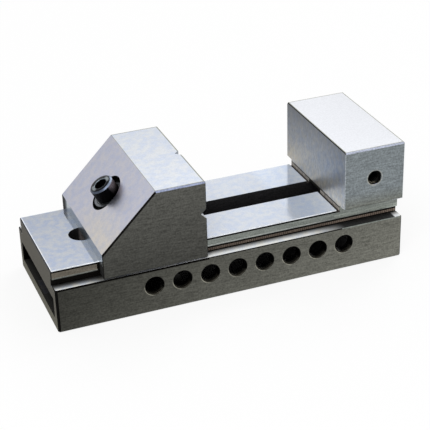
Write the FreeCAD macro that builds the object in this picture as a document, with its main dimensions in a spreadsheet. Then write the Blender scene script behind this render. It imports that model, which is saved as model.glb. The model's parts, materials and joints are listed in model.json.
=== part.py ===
import FreeCAD, Part
import math
import os
import Sketcher

# Precision grinding vise in hardened steel: a body with an integral fixed jaw, a sliding jaw that
# straddles the body's rail, and a tilting clamp screw that pulls the jaw down and forward through a
# spherical washer into a cross nut, which hooks into notches along the body's inner channel.
# Millimetres and degrees. The origin is the middle of the underside, +X points to the fixed jaw
# and +Z up. The jaw is shown about three quarters open, with the screw loosened.

driving_sizes = [
    ("body_length", "190", "overall length of the body"),
    ("body_width", "73", "width of the base and of both jaws"),
    ("ledge_height", "24", "top of the wide base, where the clamping ledge lies"),
    ("rail_width", "61", "width of the ground rail that guides the sliding jaw"),
    ("bed_height", "32", "top of the rail, the bed that carries the work"),
    ("jaw_depth", "35", "height of both jaws above the bed"),
    ("undercut_height", "3", "height of the relief between ledge and rail"),
    ("undercut_depth", "1.5", "how far that relief goes in behind the rail's side"),
    ("undercut_drop", "1", "how far it goes down below the ledge"),
    ("fixed_jaw_length", "34", "length of the fixed jaw along the body"),
    ("neck_height", "2.5", "gap between the bed and the fixed jaw's overhanging sides"),
    ("corner_relief_width", "1.6", "width of the relief groove at the foot of the fixed jaw"),
    ("corner_relief_depth", "1.2", "depth of that groove"),
    ("channel_width", "63", "width of the channel that runs inside the body"),
    ("channel_floor", "6", "thickness of the floor under the channel"),
    ("channel_height", "11", "height of the channel"),
    ("slot_width", "14", "width of the slot along the bed"),
    ("slot_start", "18", "distance from the body's open end to the slot's round end"),
    ("slot_under_jaw", "10", "how far the slot reaches in under the fixed jaw"),
    ("notch_diameter", "9.5", "diameter of the cross holes whose tops notch the channel's ceiling"),
    ("notch_height", "14.8", "height of the cross holes' centres"),
    ("notch_start", "51", "distance from the body's open end to the first cross hole"),
    ("notch_pitch", "15", "distance from one cross hole to the next"),
    ("notch_count", "8", "number of cross holes"),
    ("stop_hole_diameter", "6.8", "core diameter of the tapped hole for a work stop"),
    ("stop_hole_depth", "16", "depth of that hole"),
    ("stop_hole_height", "18", "height of that hole above the bed"),
    ("edge_chamfer", "0.8", "chamfer at the body's corners and along the tops of the jaws"),
    ("light_chamfer", "0.4", "lighter chamfer along the rail, the ledges and the working edges"),
    ("hole_chamfer", "0.5", "chamfer at the mouths of the holes"),
    ("jaw_position", "25", "distance from the body's open end to the sliding jaw's back, as shown"),
    ("sliding_jaw_length", "55", "length of the sliding jaw"),
    ("slant_run", "29", "length of the slanted back, measured along the body"),
    ("slant_angle", "45", "slope of the slanted back"),
    ("rail_clearance", "0.08", "sideways running clearance on each side of the rail"),
    ("skirt_clearance", "0.5", "gap between the jaw's skirts and the ledge"),
    ("vee_width", "6", "mouth of the V grooves in the sliding jaw's face"),
    ("vee_depth", "3", "depth of the V grooves"),
    ("vee_height", "17.5", "height of the level V groove above the bed"),
    ("pocket_width", "18", "width of the pocket in the slanted back"),
    ("pocket_length", "20.4", "length of that pocket along the slope"),
    ("pocket_depth", "1.8", "depth of the pocket's upright edge"),
    ("pivot_back", "11.6", "distance from the jaw's back to the centre of the spherical seat"),
    ("pivot_height", "26.4", "height of that centre above the bed"),
    ("seat_radius", "12", "radius of the spherical washer's underside"),
    ("seat_clearance", "0.04", "radial clearance of the washer in its seat"),
    ("screw_angle", "60", "angle of the screw from the bed, as shown"),
    ("swing_up", "4", "how much steeper than that the jaw's passage lets the screw stand"),
    ("swing_down", "8", "how much flatter than that the jaw's passage lets the screw lie"),
    ("passage_clearance", "0.7", "room round the screw in the jaw's passage"),
    ("washer_diameter", "17", "outer diameter of the spherical washer"),
    ("washer_height", "3.9", "height of the washer from its flat top to the virtual pole below"),
    ("washer_clearance", "0.4", "room round the screw in the washer's bore"),
    ("screw_diameter", "8", "thread diameter of the clamp screw"),
    ("screw_length", "55", "length of the screw under its head"),
    ("head_diameter", "13", "diameter of the screw's head"),
    ("head_height", "8", "height of the screw's head"),
    ("head_chamfer", "0.7", "chamfer round the top of the head"),
    ("socket_width", "6", "width across flats of the head's hexagon socket"),
    ("socket_depth", "4", "depth of the socket"),
    ("tip_chamfer", "0.8", "chamfer at the tip of the screw"),
    ("thread_clearance", "0.08", "radial running clearance in the nut's thread"),
    ("nut_bar_diameter", "9", "diameter of the cross nut's round arms"),
    ("nut_bar_length", "60", "length of the cross nut across the channel"),
    ("nut_barrel_diameter", "13", "diameter of the cross nut's threaded barrel"),
    ("nut_barrel_length", "12", "length of that barrel along the screw"),
    ("nut_chamfer", "0.6", "chamfer at the ends of the nut's arms and barrel"),
]

doc = FreeCAD.newDocument("precision_vise")
sheet = doc.addObject("Spreadsheet::Sheet", "Sizes")
for row, (alias, value, note) in enumerate(driving_sizes, start=1):
    sheet.set(f"A{row}", alias)
    sheet.set(f"B{row}", value)
    sheet.set(f"C{row}", note)
    sheet.setAlias(f"B{row}", alias)
doc.recompute()


def size(name):
    return f"Sizes.{name}"


# Two places closer than this are the same place.
tolerance = 1e-6

# Expressions on the sheet that several pieces share.
half_length = "Sizes.body_length / 2"
half_width = "Sizes.body_width / 2"
half_rail = "Sizes.rail_width / 2"
top_height = "(Sizes.bed_height + Sizes.jaw_depth)"
undercut_top = "(Sizes.ledge_height + Sizes.undercut_height)"
channel_top = "(Sizes.channel_floor + Sizes.channel_height)"
fixed_face = f"({half_length} - Sizes.fixed_jaw_length)"
slant_rise = "(Sizes.slant_run * tan(Sizes.slant_angle * 1 deg))"
jaw_x = f"(Sizes.jaw_position - {half_length})"
pivot_x = f"({jaw_x} + Sizes.pivot_back)"
pivot_z = "(Sizes.bed_height + Sizes.pivot_height)"
nut_z = "(Sizes.channel_floor + Sizes.channel_height / 2)"
under_head = "(Sizes.seat_radius - Sizes.washer_height)"
screw_radius = "Sizes.screw_diameter / 2"


def bind(thing, prop, expression):
    thing.setExpression(prop, expression)


def value_of(expression):
    return float(sheet.evalExpression(expression))


def origin_part(body, role):
    return next(item for item in body.Origin.OriginFeatures if item.Role == role)


# A sketch on one of the body's own origin planes, moved along that plane's normal by an expression.
def new_sketch(body, name, role, offset=None):
    sketch = body.newObject("Sketcher::SketchObject", name)
    sketch.AttachmentSupport = [(origin_part(body, role), "")]
    sketch.MapMode = "FlatFace"
    if offset:
        bind(sketch, "AttachmentOffset.Base.z", offset)
    return sketch


# Holds one point of a sketch at the place that two expressions give.
def locate(sketch, geometry, vertex, across, up):
    for kind, axis, expression in (("DistanceX", -2, across), ("DistanceY", -1, up)):
        number = value_of(expression)
        if abs(number) < tolerance:
            sketch.addConstraint(Sketcher.Constraint("PointOnObject", geometry, vertex, axis))
            continue
        index = sketch.addConstraint(Sketcher.Constraint(kind, -1, 1, geometry, vertex, number))
        bind(sketch, f"Constraints[{index}]", expression)


# A closed outline of straight lines through points given as pairs of expressions.
def add_polygon(sketch, points):
    places = [FreeCAD.Vector(value_of(across), value_of(up), 0) for across, up in points]
    first = sketch.GeometryCount
    count = len(points)
    for step in range(count):
        line = Part.LineSegment(places[step], places[(step + 1) % count])
        sketch.addGeometry(line, False)
    for step in range(count):
        following = first + (step + 1) % count
        sketch.addConstraint(Sketcher.Constraint("Coincident", first + step, 2, following, 1))
    for step, (across, up) in enumerate(points):
        locate(sketch, first + step, 1, across, up)
    return sketch


def add_circle(sketch, across, up, radius):
    centre = FreeCAD.Vector(value_of(across), value_of(up), 0)
    circle = Part.Circle(centre, FreeCAD.Vector(0, 0, 1), value_of(radius))
    geometry = sketch.addGeometry(circle, False)
    locate(sketch, geometry, 3, across, up)
    index = sketch.addConstraint(Sketcher.Constraint("Radius", geometry, value_of(radius)))
    bind(sketch, f"Constraints[{index}]", radius)
    return sketch


# A slot outline lying along the sketch's first axis, between two end centres.
def add_slot(sketch, start, end, radius):
    quarter = math.pi / 2
    size_now = value_of(radius)
    places = [FreeCAD.Vector(value_of(place), 0, 0) for place in (start, end)]
    up = FreeCAD.Vector(0, size_now, 0)
    circles = [Part.Circle(place, FreeCAD.Vector(0, 0, 1), size_now) for place in places]
    left = sketch.addGeometry(Part.ArcOfCircle(circles[0], quarter, 3 * quarter), False)
    right = sketch.addGeometry(Part.ArcOfCircle(circles[1], -quarter, quarter), False)
    lower = sketch.addGeometry(Part.LineSegment(places[0] - up, places[1] - up), False)
    upper = sketch.addGeometry(Part.LineSegment(places[1] + up, places[0] + up), False)
    for one, end_one, other, end_other in (
        (left, 2, lower, 1),
        (lower, 2, right, 1),
        (right, 2, upper, 1),
        (upper, 2, left, 1),
    ):
        sketch.addConstraint(Sketcher.Constraint("Tangent", one, end_one, other, end_other))
    sketch.addConstraint(Sketcher.Constraint("Equal", left, right))
    locate(sketch, left, 3, start, "0")
    locate(sketch, right, 3, end, "0")
    index = sketch.addConstraint(Sketcher.Constraint("Radius", left, size_now))
    bind(sketch, f"Constraints[{index}]", radius)
    return sketch


# A feature of a body that follows one sketch: a pad, a pocket, a revolution or a groove.
def new_feature(body, kind, name, sketch, length=None, both_ways=False, through=False, reverse=False):
    feature = body.newObject(f"PartDesign::{kind}", name)
    feature.Profile = sketch
    if through:
        feature.Type = "ThroughAll"
    elif length:
        bind(feature, "Length", length)
    if both_ways:
        feature.SideType = "Symmetric"
    feature.Reversed = reverse
    sketch.Visibility = False
    doc.recompute()
    return feature


def turned(body, name, sketch):
    feature = body.newObject("PartDesign::Revolution", name)
    feature.Profile = sketch
    feature.ReferenceAxis = (sketch, ["V_Axis"])
    feature.Angle = 360
    sketch.Visibility = False
    doc.recompute()
    return feature


# A chamfer on every edge of a feature that a test picks by the edge's own shape.
def chamfer_edges(body, name, base, wanted, size_expression):
    doc.recompute()
    edges = base.Shape.Edges
    names = [f"Edge{number}" for number, edge in enumerate(edges, start=1) if wanted(edge)]
    feature = body.newObject("PartDesign::Chamfer", name)
    feature.Base = (base, names)
    bind(feature, "Size", size_expression)
    doc.recompute()
    return feature


# Puts an object at a place and leans its own Z axis back by an angle, towards the open end.
def place(thing, across, up, lean=None):
    if lean:
        thing.Placement.Rotation = FreeCAD.Rotation(FreeCAD.Vector(0, -1, 0), value_of(lean))
        bind(thing, "Placement.Rotation.Angle", f"({lean}) * 1 deg")
    bind(thing, "Placement.Base.x", f"({across}) * 1 mm")
    bind(thing, "Placement.Base.z", f"({up}) * 1 mm")


# Body: base with ledges, rail, fixed jaw, channel, slot, cross holes and stop holes.
def make_body():
    body = doc.addObject("PartDesign::Body", "vise_body")
    body.Label = "vise_body"

    base = new_sketch(body, "base_section", "YZ_Plane")
    add_polygon(base, [
        (f"-{half_width}", "0"),
        (half_width, "0"),
        (half_width, size("ledge_height")),
        (f"-{half_width}", size("ledge_height")),
    ])
    base_block = new_feature(body, "Pad", "base_block", base, size("body_length"), both_ways=True)

    def upright_edge(edge):
        return edge.BoundBox.ZLength > tolerance

    def flat_edge(edge):
        return edge.BoundBox.ZLength < tolerance

    corners = chamfer_edges(body, "base_corners", base_block, upright_edge, size("edge_chamfer"))
    chamfer_edges(body, "base_edges", corners, flat_edge, size("light_chamfer"))

    rail = new_sketch(body, "rail_section", "YZ_Plane")
    inner = f"({half_rail} - Sizes.undercut_depth)"
    shoulder = f"({half_rail} - Sizes.light_chamfer)"
    bed_edge = "(Sizes.bed_height - Sizes.light_chamfer)"
    root = "(Sizes.ledge_height - Sizes.edge_chamfer)"
    right_side = [
        (inner, root),
        (inner, undercut_top),
        (half_rail, undercut_top),
        (half_rail, bed_edge),
        (shoulder, size("bed_height")),
    ]
    left_side = [(f"-{across}", up) for across, up in reversed(right_side)]
    add_polygon(rail, right_side + left_side)
    rail_block = new_feature(body, "Pad", "rail", rail, size("body_length"), both_ways=True)

    def rail_end(edge):
        box = edge.BoundBox
        at_open_end = box.XMax < -value_of(half_length) + tolerance
        return at_open_end and box.ZMin > value_of(undercut_top) - tolerance

    chamfer_edges(body, "rail_ends", rail_block, rail_end, size("light_chamfer"))

    drop = new_sketch(body, "ledge_relief_section", "YZ_Plane")
    drop_floor = "(Sizes.ledge_height - Sizes.undercut_drop)"
    drop_top = "(Sizes.ledge_height + Sizes.undercut_height / 2)"
    drop_right = [
        (inner, drop_floor),
        (half_rail, drop_floor),
        (half_rail, drop_top),
        (inner, drop_top),
    ]
    add_polygon(drop, drop_right)
    add_polygon(drop, [(f"-{across}", up) for across, up in drop_right])
    new_feature(body, "Pocket", "ledge_relief", drop, through=True, both_ways=True)

    jaw = new_sketch(body, "fixed_jaw_section", "YZ_Plane", fixed_face)
    overhang = "(Sizes.bed_height + Sizes.neck_height)"
    jaw_right = [
        (half_rail, bed_edge),
        (half_rail, overhang),
        (half_width, overhang),
        (half_width, top_height),
    ]
    jaw_left = [(f"-{across}", up) for across, up in reversed(jaw_right)]
    add_polygon(jaw, jaw_right + jaw_left)
    jaw_block = new_feature(body, "Pad", "fixed_jaw", jaw, size("fixed_jaw_length"))

    def on_side(box):
        return abs(box.Center.y) > value_of(half_width) - tolerance and box.YLength < tolerance

    def jaw_top_edge(edge):
        box = edge.BoundBox
        return on_side(box) and box.ZMin > value_of(top_height) - tolerance

    def jaw_edge(edge):
        box = edge.BoundBox
        along = box.XLength > tolerance
        above = box.ZMin > value_of(overhang) - tolerance
        if along:
            return on_side(box) and box.ZMax < value_of(overhang) + tolerance and above
        crown = box.ZMax > value_of(top_height) - tolerance
        return above and (on_side(box) or crown)

    jaw_tops = chamfer_edges(body, "fixed_jaw_top_edges", jaw_block, jaw_top_edge, size("edge_chamfer"))
    chamfer_edges(body, "fixed_jaw_edges", jaw_tops, jaw_edge, size("light_chamfer"))

    relief = new_sketch(body, "corner_relief_section", "XZ_Plane")
    relief_left = f"({fixed_face} - Sizes.corner_relief_width)"
    relief_floor = "(Sizes.bed_height - Sizes.corner_relief_depth)"
    above_bed = "(Sizes.bed_height + Sizes.neck_height)"
    add_polygon(relief, [
        (relief_left, relief_floor),
        (fixed_face, relief_floor),
        (fixed_face, above_bed),
        (relief_left, above_bed),
    ])
    new_feature(body, "Pocket", "corner_relief", relief, through=True, both_ways=True)

    channel = new_sketch(body, "channel_section", "YZ_Plane")
    half_channel = "Sizes.channel_width / 2"
    add_polygon(channel, [
        (f"-{half_channel}", size("channel_floor")),
        (half_channel, size("channel_floor")),
        (half_channel, channel_top),
        (f"-{half_channel}", channel_top),
    ])
    new_feature(body, "Pocket", "channel", channel, through=True, both_ways=True)

    slot = new_sketch(body, "slot_outline", "XY_Plane")
    slot_left = f"(Sizes.slot_start + Sizes.slot_width / 2 - {half_length})"
    slot_right = f"({fixed_face} + Sizes.slot_under_jaw - Sizes.slot_width / 2)"
    add_slot(slot, slot_left, slot_right, "Sizes.slot_width / 2")
    new_feature(body, "Pocket", "slot", slot, size("bed_height"), reverse=True)

    notch = new_sketch(body, "notch_outline", "XZ_Plane")
    notch_x = f"(Sizes.notch_start - {half_length})"
    add_circle(notch, notch_x, size("notch_height"), "Sizes.notch_diameter / 2")
    first_notch = new_feature(body, "Pocket", "first_notch", notch, through=True, both_ways=True)
    row = body.newObject("PartDesign::LinearPattern", "notch_row")
    row.Originals = [first_notch]
    row.Direction = (notch, ["H_Axis"])
    bind(row, "Occurrences", size("notch_count"))
    bind(row, "Length", "Sizes.notch_pitch * (Sizes.notch_count - 1)")
    body.Tip = row
    doc.recompute()

    stop = new_sketch(body, "stop_hole_outline", "XZ_Plane", half_width)
    add_circle(
        stop,
        f"({half_length} - Sizes.fixed_jaw_length / 2)",
        "(Sizes.bed_height + Sizes.stop_hole_height)",
        "Sizes.stop_hole_diameter / 2",
    )
    near_hole = new_feature(body, "Pocket", "near_stop_hole", stop, size("stop_hole_depth"))
    far_hole = body.newObject("PartDesign::Mirrored", "far_stop_hole")
    far_hole.Originals = [near_hole]
    far_hole.MirrorPlane = (origin_part(body, "XZ_Plane"), [""])
    body.Tip = far_hole
    doc.recompute()

    def hole_mouth(edge):
        box = edge.BoundBox
        on_side = box.YLength < tolerance and abs(abs(box.Center.y) - value_of(half_width)) < tolerance
        return on_side and isinstance(edge.Curve, Part.Circle)

    chamfer_edges(body, "hole_mouths", far_hole, hole_mouth, size("hole_chamfer"))
    return body


# Sliding jaw: a slanted block that straddles the rail, with V grooves in its face.
def make_jaw_block():
    body = doc.addObject("PartDesign::Body", "jaw_block")
    side = new_sketch(body, "jaw_side", "XZ_Plane")
    skirt = "(Sizes.ledge_height + Sizes.skirt_clearance)"
    add_polygon(side, [
        ("0", skirt),
        (size("sliding_jaw_length"), skirt),
        (size("sliding_jaw_length"), top_height),
        (size("slant_run"), top_height),
        ("0", f"({top_height} - {slant_rise})"),
    ])
    below_skirt = f"({skirt} - Sizes.skirt_clearance)"
    block = new_feature(body, "Pad", "block", side, size("body_width"), both_ways=True)

    def upper_side_edge(edge):
        box = edge.BoundBox
        upper = box.ZMax > value_of(top_height) - tolerance
        return box.YLength < tolerance and box.XLength > tolerance and upper

    def lower_edge(edge):
        box = edge.BoundBox
        front = box.XMin > value_of(size("sliding_jaw_length")) - tolerance
        back = box.XMax < tolerance and box.YLength < tolerance
        bottom = box.ZMax < value_of(skirt) + tolerance
        return front or back or bottom

    upper_edges = chamfer_edges(body, "block_upper_edges", block, upper_side_edge, size("edge_chamfer"))
    chamfer_edges(body, "block_edges", upper_edges, lower_edge, size("light_chamfer"))

    guide = new_sketch(body, "guide_section", "YZ_Plane")
    half_guide = f"({half_rail} + Sizes.rail_clearance)"
    add_polygon(guide, [
        (f"-{half_guide}", below_skirt),
        (half_guide, below_skirt),
        (half_guide, size("bed_height")),
        (f"-{half_guide}", size("bed_height")),
    ])
    new_feature(body, "Pocket", "guide", guide, through=True, both_ways=True)

    level = new_sketch(body, "level_vee_section", "XZ_Plane")
    vee_middle = "(Sizes.bed_height + Sizes.vee_height)"
    vee_tip = "(Sizes.sliding_jaw_length - Sizes.vee_depth)"
    add_polygon(level, [
        (size("sliding_jaw_length"), f"({vee_middle} - Sizes.vee_width / 2)"),
        (size("sliding_jaw_length"), f"({vee_middle} + Sizes.vee_width / 2)"),
        (vee_tip, vee_middle),
    ])
    new_feature(body, "Pocket", "level_vee", level, through=True, both_ways=True)

    upright = new_sketch(body, "upright_vee_section", "XY_Plane")
    add_polygon(upright, [
        (size("sliding_jaw_length"), "-Sizes.vee_width / 2"),
        (size("sliding_jaw_length"), "Sizes.vee_width / 2"),
        (vee_tip, "0"),
    ])
    new_feature(body, "Pocket", "upright_vee", upright, through=True, both_ways=True)
    return body


# A rounded prism that stands square to the slanted back, at the pocket's middle.
def pocket_tool(name, depth):
    tool = doc.addObject("PartDesign::Body", name)
    outline = new_sketch(tool, f"{name}_outline", "XY_Plane", f"-{depth}")
    reach = "(Sizes.pocket_length - Sizes.pocket_width) / 2"
    add_slot(outline, f"-{reach}", reach, "Sizes.pocket_width / 2")
    new_feature(tool, "Pad", f"{name}_depth", outline, f"{depth} + Sizes.pocket_depth")
    place(tool, "Sizes.slant_run / 2", f"({top_height} - {slant_rise} / 2)", "90 - Sizes.slant_angle")
    return tool


# The passage below the seat: two bores at the ends of the screw's swing and the wedge between them.
def passage_tools():
    radius = f"({screw_radius} + Sizes.passage_clearance)"
    reach_down = f"({pivot_z} - Sizes.ledge_height)"
    steep = "(Sizes.screw_angle + Sizes.swing_up)"
    flat = "(Sizes.screw_angle - Sizes.swing_down)"
    tools = []
    for name, angle in (("steep_bore", steep), ("flat_bore", flat)):
        bore = doc.addObject("Part::Cylinder", name)
        bind(bore, "Radius", f"{radius} * 1 mm")
        bind(bore, "Height", f"{reach_down} / sin({angle} * 1 deg) * 1 mm")
        bore.Placement.Rotation = FreeCAD.Rotation(FreeCAD.Vector(0, 1, 0), 90 + value_of(angle))
        bind(bore, "Placement.Rotation.Angle", f"(90 + {angle}) * 1 deg")
        bind(bore, "Placement.Base.x", f"{size('pivot_back')} * 1 mm")
        bind(bore, "Placement.Base.z", f"{pivot_z} * 1 mm")
        tools.append(bore)
    wedge = doc.addObject("PartDesign::Body", "passage_wedge")
    side = new_sketch(wedge, "wedge_side", "XZ_Plane")
    low = size("ledge_height")
    add_polygon(side, [
        (size("pivot_back"), pivot_z),
        (f"({size('pivot_back')} + {reach_down} / tan({flat} * 1 deg))", low),
        (f"({size('pivot_back')} + {reach_down} / tan({steep} * 1 deg))", low),
    ])
    new_feature(wedge, "Pad", "wedge_width", side, f"2 * {radius}", both_ways=True)
    return tools + [wedge]


# The sliding jaw is its block less the pocket, whose floor is the washer's spherical seat, and the passage.
def make_jaw():
    block = make_jaw_block()
    pocket_edge = pocket_tool("pocket_edge", size("pocket_depth"))
    seat_bound = pocket_tool("seat_bound", size("seat_radius"))
    ball = doc.addObject("Part::Sphere", "seat_ball")
    bind(ball, "Radius", "(Sizes.seat_radius + Sizes.seat_clearance) * 1 mm")
    place(ball, size("pivot_back"), pivot_z)
    seat = doc.addObject("Part::Common", "seat")
    seat.Base = seat_bound
    seat.Tool = ball
    hollows = doc.addObject("Part::MultiFuse", "jaw_hollows")
    hollows.Shapes = [pocket_edge, seat] + passage_tools()
    jaw = doc.addObject("Part::Cut", "sliding_jaw")
    jaw.Label = "sliding_jaw"
    jaw.Base = block
    jaw.Tool = hollows
    place(jaw, jaw_x, "0")
    return jaw


# The clamp screw, washer and nut are drawn along their own Z axis, which is the screw's, from the
# centre of the spherical seat.
def make_screw():
    screw = doc.addObject("PartDesign::Body", "lock_screw")
    screw.Label = "lock_screw"
    outline = new_sketch(screw, "screw_outline", "XZ_Plane")
    tip = f"(-{under_head} - Sizes.screw_length)"
    head_top = f"(Sizes.head_height - {under_head})"
    head_radius = "Sizes.head_diameter / 2"
    add_polygon(outline, [
        ("0", tip),
        (f"({screw_radius} - Sizes.tip_chamfer)", tip),
        (screw_radius, f"({tip} + Sizes.tip_chamfer)"),
        (screw_radius, f"-{under_head}"),
        (head_radius, f"-{under_head}"),
        (head_radius, f"({head_top} - Sizes.head_chamfer)"),
        (f"({head_radius} - Sizes.head_chamfer)", head_top),
        ("0", head_top),
    ])
    turned(screw, "screw_turned", outline)
    socket = new_sketch(screw, "socket_outline", "XY_Plane", head_top)
    corner = "Sizes.socket_width / sqrt(3)"
    add_polygon(socket, [
        (f"{corner} * cos({step} * 60 deg)", f"{corner} * sin({step} * 60 deg)") for step in range(6)
    ])
    new_feature(screw, "Pocket", "socket", socket, size("socket_depth"))
    place(screw, pivot_x, pivot_z, "90 - Sizes.screw_angle")
    return screw


def make_washer():
    washer = doc.addObject("PartDesign::Body", "spherical_washer")
    washer.Label = "spherical_washer"
    outline = new_sketch(washer, "washer_outline", "XZ_Plane")
    inner = f"({screw_radius} + Sizes.washer_clearance)"
    outer = "Sizes.washer_diameter / 2"
    top = f"-{under_head}"
    ball = value_of(size("seat_radius"))
    top_now = value_of(top)
    corners = []
    for across in (value_of(inner), value_of(outer)):
        corners.append(FreeCAD.Vector(across, -((ball * ball - across * across) ** 0.5), 0))
    inner_low, outer_low = corners
    inner_top = FreeCAD.Vector(inner_low.x, top_now, 0)
    outer_top = FreeCAD.Vector(outer_low.x, top_now, 0)
    circle = Part.Circle(FreeCAD.Vector(0, 0, 0), FreeCAD.Vector(0, 0, 1), ball)
    arc_ends = [circle.parameter(inner_low), circle.parameter(outer_low)]
    flat = outline.addGeometry(Part.LineSegment(inner_top, outer_top), False)
    rim = outline.addGeometry(Part.LineSegment(outer_top, outer_low), False)
    dome = outline.addGeometry(Part.ArcOfCircle(circle, *arc_ends), False)
    bore = outline.addGeometry(Part.LineSegment(inner_low, inner_top), False)
    for one, end_one, other, end_other in (
        (flat, 2, rim, 1),
        (rim, 2, dome, 2),
        (dome, 1, bore, 1),
        (bore, 2, flat, 1),
    ):
        outline.addConstraint(Sketcher.Constraint("Coincident", one, end_one, other, end_other))
    outline.addConstraint(Sketcher.Constraint("Coincident", dome, 3, -1, 1))
    for kind, line in (("Horizontal", flat), ("Vertical", rim), ("Vertical", bore)):
        outline.addConstraint(Sketcher.Constraint(kind, line))
    locate(outline, flat, 1, inner, top)
    reach = outline.addConstraint(Sketcher.Constraint("DistanceX", -1, 1, flat, 2, outer_top.x))
    bind(outline, f"Constraints[{reach}]", outer)
    radius = outline.addConstraint(Sketcher.Constraint("Radius", dome, ball))
    bind(outline, f"Constraints[{radius}]", size("seat_radius"))
    turned(washer, "washer_turned", outline)
    place(washer, pivot_x, pivot_z, "90 - Sizes.screw_angle")
    return washer


def make_nut():
    nut = doc.addObject("PartDesign::Body", "cross_nut")
    nut.Label = "cross_nut"
    barrel = new_sketch(nut, "barrel_outline", "XY_Plane")
    add_circle(barrel, "0", "0", "Sizes.nut_barrel_diameter / 2")
    new_feature(nut, "Pad", "barrel", barrel, size("nut_barrel_length"), both_ways=True)
    arms = new_sketch(nut, "arms_outline", "XZ_Plane")
    add_circle(arms, "0", "0", "Sizes.nut_bar_diameter / 2")
    solid = new_feature(nut, "Pad", "arms", arms, size("nut_bar_length"), both_ways=True)

    def end_edge(edge):
        if not isinstance(edge.Curve, Part.Circle):
            return False
        box = edge.BoundBox
        past_arm = abs(box.Center.y) - value_of("Sizes.nut_bar_length / 2")
        past_barrel = abs(box.Center.z) - value_of("Sizes.nut_barrel_length / 2")
        arm_end = box.YLength < tolerance and abs(past_arm) < tolerance
        barrel_end = box.ZLength < tolerance and abs(past_barrel) < tolerance
        return arm_end or barrel_end

    chamfer_edges(nut, "nut_edges", solid, end_edge, size("nut_chamfer"))
    bore = new_sketch(nut, "thread_outline", "XY_Plane")
    add_circle(bore, "0", "0", f"({screw_radius} + Sizes.thread_clearance)")
    new_feature(nut, "Pocket", "thread", bore, through=True, both_ways=True)
    nut_x = f"({pivot_x} + ({pivot_z} - {nut_z}) / tan(Sizes.screw_angle * 1 deg))"
    place(nut, nut_x, nut_z, "90 - Sizes.screw_angle")
    return nut


pieces = [make_body(), make_jaw(), make_screw(), make_washer(), make_nut()]
doc.recompute()

failed = [item.Name for item in doc.Objects if "Invalid" in item.State or "Error" in item.State]
if failed:
    raise RuntimeError(f"these objects failed: {failed}")
os.makedirs("parts", exist_ok=True)
for piece in pieces:
    shape = piece.Shape
    if shape.isNull() or not shape.isValid() or len(shape.Solids) != 1:
        raise RuntimeError(f"{piece.Label} has no single valid solid")
    shape.exportStep(f"parts/{piece.Label}.step")
    box = shape.BoundBox
    print(
        f"{piece.Label}: volume {shape.Volume:.1f}",
        f"x {box.XMin:.2f} {box.XMax:.2f} y {box.YMin:.2f} {box.YMax:.2f} z {box.ZMin:.2f} {box.ZMax:.2f}",
    )
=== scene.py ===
import json
import math
import bmesh
import bpy
from mathutils import Matrix, Vector


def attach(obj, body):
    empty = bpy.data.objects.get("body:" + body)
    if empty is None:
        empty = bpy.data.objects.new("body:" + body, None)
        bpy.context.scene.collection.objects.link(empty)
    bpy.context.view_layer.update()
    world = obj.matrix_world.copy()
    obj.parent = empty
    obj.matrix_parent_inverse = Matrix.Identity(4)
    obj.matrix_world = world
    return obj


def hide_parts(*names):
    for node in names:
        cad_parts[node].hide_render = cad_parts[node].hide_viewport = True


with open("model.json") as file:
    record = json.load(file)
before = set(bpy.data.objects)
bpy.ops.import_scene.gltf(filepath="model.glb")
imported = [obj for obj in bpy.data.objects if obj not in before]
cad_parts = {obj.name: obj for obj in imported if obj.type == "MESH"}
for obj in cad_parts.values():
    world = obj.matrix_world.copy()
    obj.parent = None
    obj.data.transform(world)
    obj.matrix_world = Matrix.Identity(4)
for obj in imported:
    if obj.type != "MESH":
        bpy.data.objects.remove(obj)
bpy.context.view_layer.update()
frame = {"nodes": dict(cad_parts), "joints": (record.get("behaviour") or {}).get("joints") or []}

mm = 0.001  # sizes are written in millimetres where nothing else is said, and this makes metres of them
nodes = frame["nodes"]
joints = {joint["name"]: joint for joint in frame["joints"]}
print("stage: frame loaded with", len(nodes), "nodes")


# sRGB hex to the linear values that the shaders take
def linearColour(hexCode):
    parts = [int(hexCode[i:i + 2], 16) / 255 for i in (0, 2, 4)]
    curve = [p / 12.92 if p <= 0.04045 else ((p + 0.055) / 1.055) ** 2.4 for p in parts]
    return (*curve, 1.0)


# Adds one node with its settings; an input takes a value, or a socket to link from
def addNode(tree, kind, inputs=None, output=0, **settings):
    node = tree.nodes.new("ShaderNode" + kind)
    for name, value in settings.items():
        setattr(node, name, value)
    for key, value in (inputs or {}).items():
        socket = node.inputs[key]
        if isinstance(value, bpy.types.NodeSocket):
            tree.links.new(value, socket)
        else:
            socket.default_value = value
    return node.outputs[output] if node.outputs else node


def newMaterial(name):
    material = bpy.data.materials.new(name)
    material.use_nodes = True
    tree = material.node_tree
    tree.nodes.clear()
    place = addNode(tree, "TexCoord", output="Object")
    return material, tree, place


# 1 inside a box given by two corners in millimetres, 0 outside, with an edge as soft as asked
def insideBox(tree, place, low, high, soft=0.05):
    centre = [(a + b) / 2 * mm for a, b in zip(low, high)]
    half = [(b - a) / 2 * mm for a, b in zip(low, high)]
    shift = addNode(tree, "VectorMath", {0: place, 1: centre}, operation="SUBTRACT")
    span = addNode(tree, "VectorMath", {0: shift}, operation="ABSOLUTE")
    over = addNode(tree, "VectorMath", {0: span, 1: half}, operation="SUBTRACT")
    axes = addNode(tree, "SeparateXYZ", {0: over}).node.outputs
    most = addNode(tree, "Math", {0: axes[0], 1: axes[1]}, operation="MAXIMUM")
    most = addNode(tree, "Math", {0: most, 1: axes[2]}, operation="MAXIMUM")
    return addNode(tree, "MapRange", {0: most, 1: soft * mm, 2: -soft * mm, 3: 0.0, 4: 1.0})


# The place measured from a centre, and its distance in metres from an axis through that centre
def aroundAxis(tree, place, centre, axis):
    shift = addNode(tree, "VectorMath", {0: place, 1: centre}, operation="SUBTRACT")
    across = addNode(tree, "VectorMath", {0: shift, 1: axis}, operation="CROSS_PRODUCT")
    return shift, addNode(tree, "VectorMath", {0: across}, output="Value", operation="LENGTH")


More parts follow.
